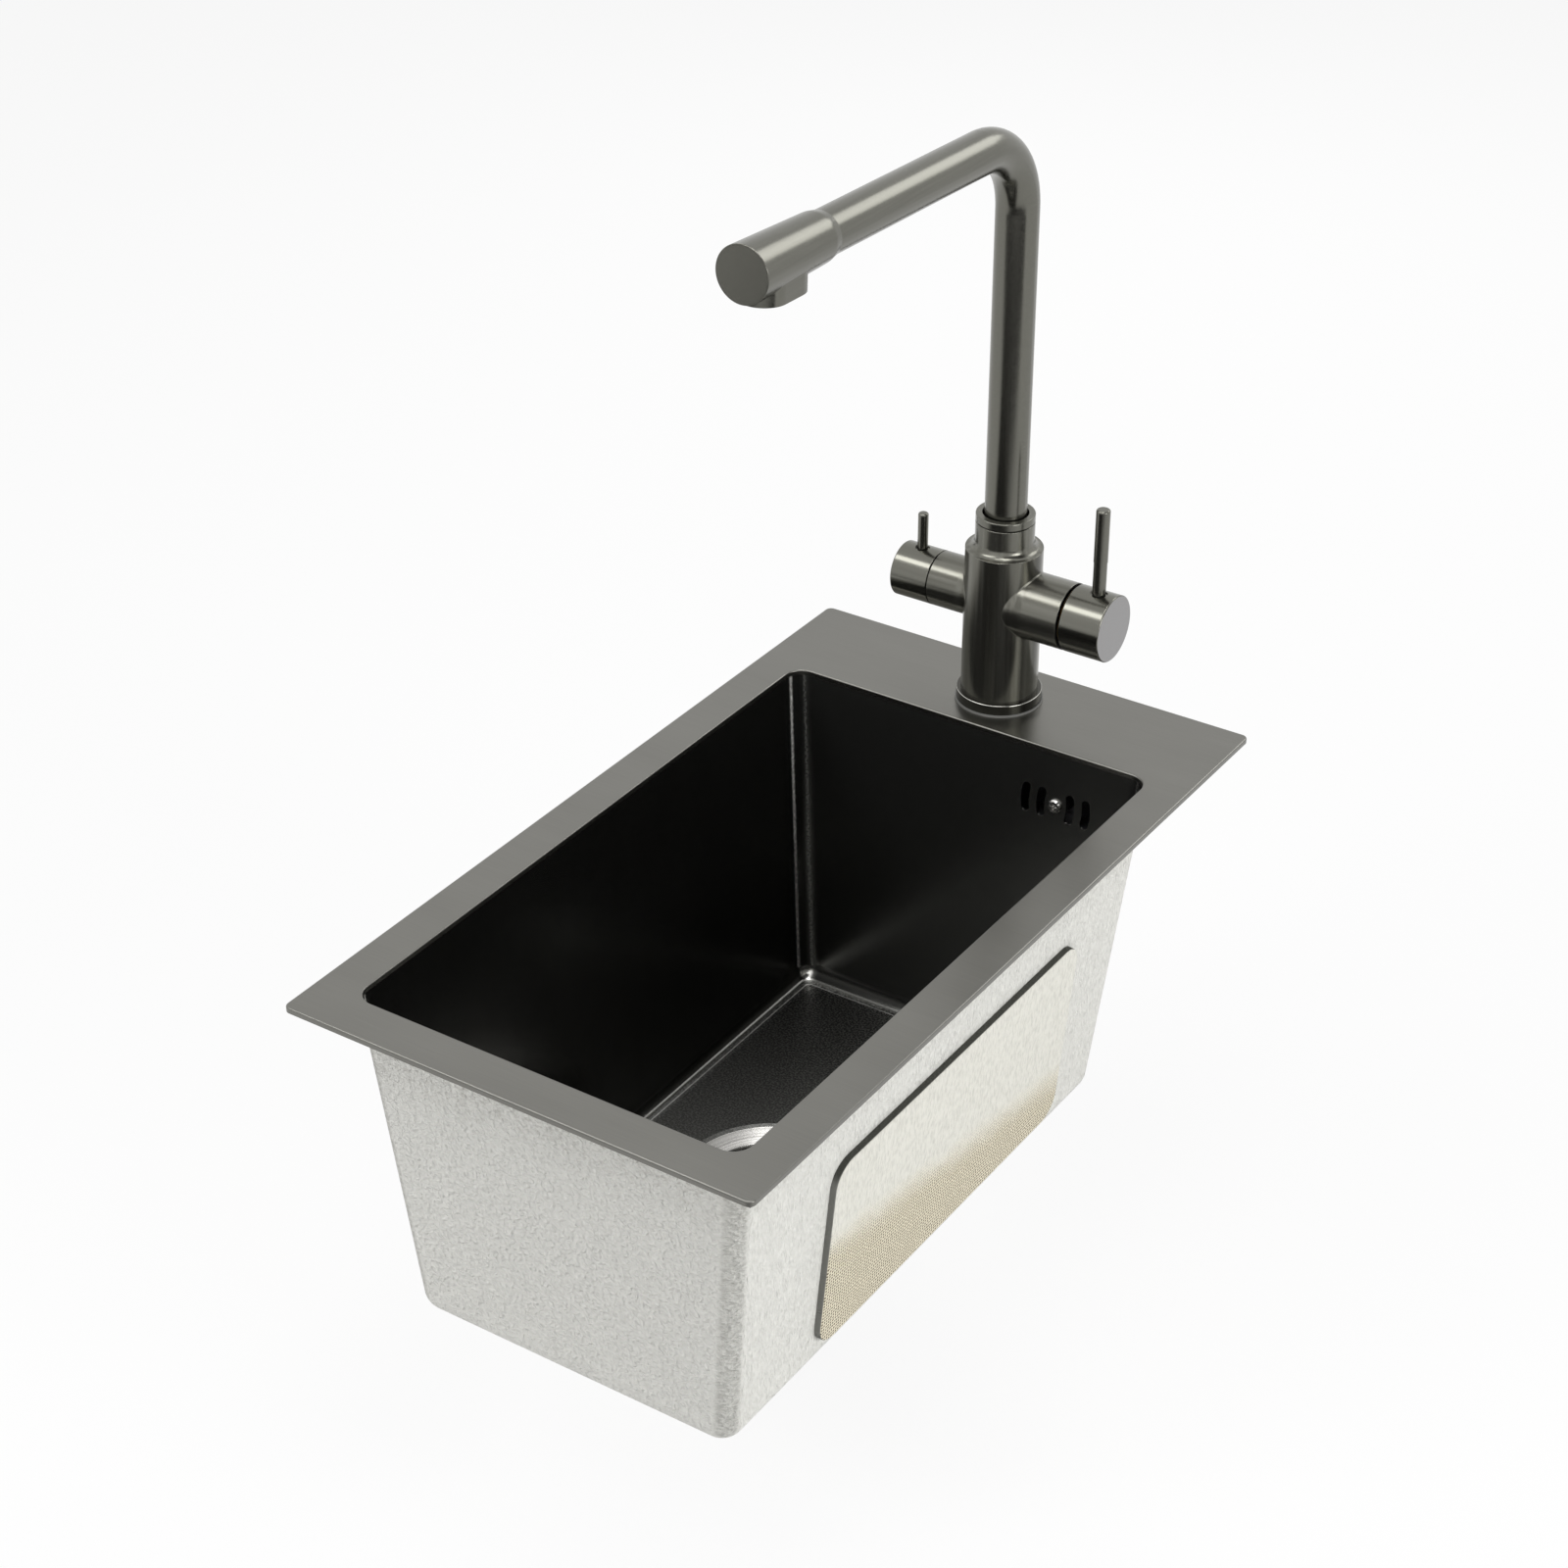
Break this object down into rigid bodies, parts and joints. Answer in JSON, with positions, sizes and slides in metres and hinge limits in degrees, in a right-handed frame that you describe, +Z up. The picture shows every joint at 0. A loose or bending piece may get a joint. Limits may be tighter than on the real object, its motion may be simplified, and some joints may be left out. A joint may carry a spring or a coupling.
{
  "type": "single bowl kitchen sink",
  "caption": "Drop-in kitchen sink: flat deck plate, deep tapered bowl with overflow and strainer drain, and a pillar tap with a swivelling spout, a mixer lever and a filtered-water lever.",
  "frame": {"origin": "middle of the deck plate, on the worktop's surface, which is the underside of the rim seal", "axes": "+Z up, +X to the user's right, +Y to the back, where the tap stands"},
  "size_m": [0.28, 0.5, 0.6574],
  "materials": {
    "deck_steel": "brushed gunmetal",
    "bowl_steel": "dark satin with a fine grain",
    "tap_steel": "brushed gunmetal",
    "coat_paint": "rough sprayed coat",
    "pad_cloth": "woven face with dark edges",
    "drain_steel": "spun bright steel",
    "screw_steel": "bright steel",
    "washer_steel": "plain steel",
    "brass": "machined brass",
    "black_plastic": "moulded",
    "grey_plastic": "moulded",
    "pale_plastic": "moulded",
    "black_rubber": "matt",
    "grey_foam": "closed-cell foam",
    "grey_silicone": "smooth"
  },
  "bodies": {
    "sink": {"deck_plate": "deck_steel", "rim_seal": "grey_foam", "bowl_shell": "bowl_steel", "spray_coat": "coat_paint", "sound_pad_right": "pad_cloth", "sound_pad_left": "pad_cloth", "overflow_gasket": "black_rubber", "overflow_box": "black_plastic", "overflow_insert": "brass", "overflow_screw": "screw_steel", "drain_flange": "drain_steel", "drain_upper_gasket": "black_rubber", "drain_lower_gasket": "black_rubber", "drain_cup": "black_plastic", "drain_tail": "black_plastic", "tap_base_seal": "grey_silicone", "tap_base_ring": "tap_steel", "tap_body": "tap_steel", "tap_shank": "brass", "filter_inlet_socket": "brass", "hot_inlet_socket": "brass", "cold_inlet_socket": "brass", "shank_rubber_washer": "black_rubber", "shank_steel_washer": "washer_steel", "shank_nut": "brass", "collar_nut": "tap_steel", "spout_bush": "pale_plastic", "mixer_cartridge": "pale_plastic", "mixer_nut": "brass", "filter_cartridge": "brass", "filter_nut": "brass"},
    "spout": {"spout_tube": "tap_steel", "spout_ferrule": "brass", "spout_orings": "black_rubber", "filter_pipe": "pale_plastic", "spout_head": "tap_steel", "spout_end_cap": "tap_steel", "outlet_block": "tap_steel", "aerator": "grey_plastic", "filter_nozzle": "grey_plastic"},
    "mixer": {"mixer_spindle": "brass", "mixer_handle": "tap_steel", "mixer_lever": "tap_steel", "mixer_lever_sleeve": "tap_steel"},
    "filter": {"filter_spindle": "brass", "filter_handle": "tap_steel", "filter_lever": "tap_steel"},
    "basket": {"strainer_basket": "drain_steel", "basket_stopper": "black_rubber", "basket_post": "drain_steel", "basket_knob": "black_plastic"}
  },
  "joints": [
    {"name": "spout_swivel", "type": "hinge", "parent": "sink", "child": "spout", "pos_m": [0, 0.212, 0.1], "axis": [0, 0, 1], "continuous": true},
    {"name": "mixer_turn", "type": "hinge", "parent": "sink", "child": "mixer", "pos_m": [0.05, 0.212, 0.0695], "axis": [1, 0, 0], "range_deg": [0, 90]},
    {"name": "filter_turn", "type": "hinge", "parent": "sink", "child": "filter", "pos_m": [-0.05, 0.212, 0.0695], "axis": [1, 0, 0], "range_deg": [0, 90]},
    {"name": "basket_lift", "type": "slide", "parent": "sink", "child": "basket", "axis": [0, 0, 1], "range_m": [0, 0.24]}
  ]
}
